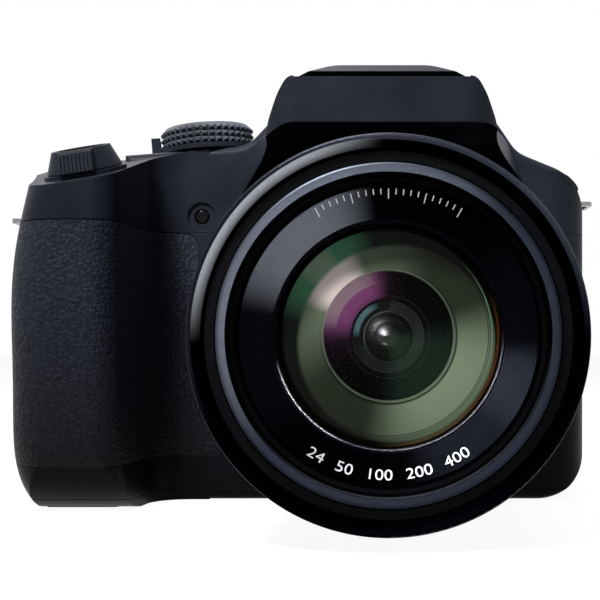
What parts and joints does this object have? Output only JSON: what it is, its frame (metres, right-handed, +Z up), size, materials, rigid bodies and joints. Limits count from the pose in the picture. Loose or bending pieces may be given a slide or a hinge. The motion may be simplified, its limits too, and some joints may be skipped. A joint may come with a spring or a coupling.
{
  "type": "bridge camera",
  "caption": "Bridge camera with a deep rubber-covered grip, a two-stage zoom lens, pop-up flash, mode dial, zoom lever, electronic viewfinder and hinged battery door.",
  "frame": {"origin": "centre of the tripod socket's mouth, on the base, under the lens axis", "axes": "+X to the right of someone facing the lens, +Y from the lens to the rear, +Z up; the lens points along -Y and its axis is 38 mm above the base"},
  "size_m": [0.1384, 0.1192, 0.0943],
  "materials": {
    "body_plastic": "fine matt, near-black with a blue cast",
    "grip_rubber": "leather grain",
    "lens_plastic": "satin black",
    "lens_matt": "dull black",
    "front_glass": "coated, olive and magenta reflections",
    "inner_glass": "coated",
    "clear_window": "clear",
    "frame_metal": "stamped sheet",
    "steel": "turned",
    "brass": "turned",
    "circuit_board": "green laminate with black chips",
    "inner_plastic": "moulded",
    "battery_case": "grey",
    "display": "dark",
    "soft_rubber": "smooth"
  },
  "bodies": {
    "camera_body": {"front_cover": "body_plastic", "rear_cover": "body_plastic", "top_cover": "body_plastic", "bottom_cover": "body_plastic", "grip_rubber": "grip_rubber", "thumb_rest": "soft_rubber", "fixed_barrel": "lens_plastic", "barrel_trim_ring": "lens_plastic", "barrel_seal": "soft_rubber", "lens_mount_plate": "frame_metal", "guide_rods": "steel", "zoom_motor": "steel", "sensor_block": "display", "inner_frame": "frame_metal", "main_board": "circuit_board", "lcd_panel": "display", "lcd_window": "clear_window", "viewfinder_tube": "inner_plastic", "eyepiece_lens": "clear_window", "eyecup": "soft_rubber", "hot_shoe": "steel", "af_lamp_lens": "clear_window", "strap_lugs": "steel", "tripod_socket": "brass", "battery": "battery_case", "battery_holder": "inner_plastic", "memory_card": "battery_case", "flash_capacitor": "inner_plastic", "screws": "steel"},
    "first_stage": {"zoom_stage_1": "lens_plastic"},
    "cam": {"cam_barrel": "lens_matt"},
    "second_stage": {"zoom_stage_2": "lens_plastic", "dress_ring": "lens_matt", "retaining_ring": "lens_plastic", "front_element": "front_glass"},
    "variator": {"variator_carriage": "lens_matt", "variator_glass": "inner_glass"},
    "iris": {"iris_housing": "lens_matt", "relay_glass": "inner_glass"},
    "focus": {"focus_group": "inner_glass"},
    "dial": {"mode_dial": "body_plastic"},
    "power_switch": {"power_lever": "body_plastic"},
    "zoom_switch": {"zoom_lever": "body_plastic"},
    "shutter": {"shutter_button": "body_plastic"},
    "film": {"film_button": "body_plastic"},
    "burst": {"burst_button": "body_plastic"},
    "rear_wheel": {"rear_dial": "body_plastic"},
    "lock": {"lock_button": "body_plastic"},
    "finder_key": {"viewfinder_button": "body_plastic"},
    "playback": {"playback_button": "body_plastic"},
    "pad": {"cursor_pad": "body_plastic"},
    "menu": {"menu_button": "body_plastic"},
    "delete": {"delete_button": "body_plastic"},
    "diopter": {"diopter_dial": "body_plastic"},
    "flash": {"flash_head": "body_plastic", "flash_window": "clear_window"},
    "flash_key": {"flash_release_button": "body_plastic"},
    "door": {"battery_door": "body_plastic"},
    "latch": {"battery_latch": "body_plastic"},
    "side_door": {"port_door": "body_plastic"}
  },
  "joints": [
    {"name": "zoom_slide", "type": "slide", "parent": "camera_body", "child": "first_stage", "axis": [0, -1, 0], "range_m": [0, 0.038]},
    {"name": "second_stage_slide", "type": "slide", "parent": "first_stage", "child": "second_stage", "axis": [0, -1, 0], "range_m": [0, 0.04]},
    {"name": "cam_turn", "type": "hinge", "parent": "first_stage", "child": "cam", "pos_m": [0, -0.03, 0.038], "axis": [0, 1, 0], "range_deg": [0, 26]},
    {"name": "variator_slide", "type": "slide", "parent": "camera_body", "child": "variator", "axis": [0, 1, 0], "range_m": [0, 0.018]},
    {"name": "iris_slide", "type": "slide", "parent": "camera_body", "child": "iris", "axis": [0, -1, 0], "range_m": [0, 0.006]},
    {"name": "focus_slide", "type": "slide", "parent": "camera_body", "child": "focus", "axis": [0, -1, 0], "range_m": [-0.002, 0.003]},
    {"name": "mode_dial_turn", "type": "hinge", "parent": "camera_body", "child": "dial", "pos_m": [-0.0437, 0, 0.0823], "axis": [-0.0785, 0, 0.9969], "continuous": true},
    {"name": "power_turn", "type": "hinge", "parent": "camera_body", "child": "power_switch", "pos_m": [-0.0437, 0, 0.0823], "axis": [-0.0785, 0, 0.9969], "range_deg": [0, 25]},
    {"name": "zoom_lever_turn", "type": "hinge", "parent": "camera_body", "child": "zoom_switch", "pos_m": [-0.0656, -0.033, 0.0733], "axis": [-0.1523, -0.229, 0.9614], "range_deg": [-15, 15], "stiffness_Nm_per_rad": 0.05},
    {"name": "shutter_press", "type": "slide", "parent": "camera_body", "child": "shutter", "axis": [0.1523, 0.229, -0.9614], "range_m": [0, 0.0012], "stiffness_N_per_m": 300, "springref_m": -0.001},
    {"name": "film_press", "type": "slide", "parent": "camera_body", "child": "film", "axis": [0.0785, 0, -0.9969], "range_m": [0, 0.0005], "stiffness_N_per_m": 300, "springref_m": -0.001},
    {"name": "burst_press", "type": "slide", "parent": "camera_body", "child": "burst", "axis": [0.0785, 0, -0.9969], "range_m": [0, 0.0005], "stiffness_N_per_m": 300, "springref_m": -0.001},
    {"name": "rear_dial_turn", "type": "hinge", "parent": "camera_body", "child": "rear_wheel", "pos_m": [-0.063, 0.0172, 0.0712], "axis": [0, 0, 1], "continuous": true},
    {"name": "lock_press", "type": "slide", "parent": "camera_body", "child": "lock", "axis": [0, -1, 0], "range_m": [0, 0.0005], "stiffness_N_per_m": 300, "springref_m": -0.001},
    {"name": "finder_press", "type": "slide", "parent": "camera_body", "child": "finder_key", "axis": [0, -1, 0], "range_m": [0, 0.0005], "stiffness_N_per_m": 300, "springref_m": -0.001},
    {"name": "playback_press", "type": "slide", "parent": "camera_body", "child": "playback", "axis": [0, -1, 0], "range_m": [0, 0.0005], "stiffness_N_per_m": 300, "springref_m": -0.001},
    {"name": "pad_press", "type": "slide", "parent": "camera_body", "child": "pad", "axis": [0, -1, 0], "range_m": [0, 0.0005], "stiffness_N_per_m": 300, "springref_m": -0.001},
    {"name": "menu_press", "type": "slide", "parent": "camera_body", "child": "menu", "axis": [0, -1, 0], "range_m": [0, 0.0005], "stiffness_N_per_m": 300, "springref_m": -0.001},
    {"name": "delete_press", "type": "slide", "parent": "camera_body", "child": "delete", "axis": [0, -1, 0], "range_m": [0, 0.0005], "stiffness_N_per_m": 300, "springref_m": -0.001},
    {"name": "diopter_turn", "type": "hinge", "parent": "camera_body", "child": "diopter", "pos_m": [0.0218, 0.0248, 0.0829], "axis": [0, 1, 0], "range_deg": [-150, 150]},
    {"name": "flash_lift", "type": "hinge", "parent": "camera_body", "child": "flash", "pos_m": [-0.0013, -0.015, 0.0912], "axis": [-1, 0, 0], "range_deg": [0, 45]},
    {"name": "flash_key_press", "type": "slide", "parent": "camera_body", "child": "flash_key", "axis": [-0.7314, 0, -0.682], "range_m": [0, 0.0008], "stiffness_N_per_m": 300, "springref_m": -0.001},
    {"name": "battery_door_turn", "type": "hinge", "parent": "camera_body", "child": "door", "pos_m": [-0.0641, 0.0116, 0.00145], "axis": [1, 0, 0], "range_deg": [0, 90]},
    {"name": "latch_slide", "type": "slide", "parent": "door", "child": "latch", "axis": [0, -1, 0], "range_m": [0, 0.0025]},
    {"name": "side_door_turn", "type": "hinge", "parent": "camera_body", "child": "side_door", "pos_m": [0.04615, 0.01135, 0.036], "axis": [0, 0, 1], "range_deg": [0, 95]}
  ],
  "couplings": [
    {"joint": "second_stage_slide", "follows": "zoom_slide", "ratio": 1.05},
    {"joint": "cam_turn", "follows": "zoom_slide", "rad_per_m": 11.9},
    {"joint": "variator_slide", "follows": "zoom_slide", "ratio": 0.47},
    {"joint": "iris_slide", "follows": "zoom_slide", "ratio": 0.157}
  ]
}
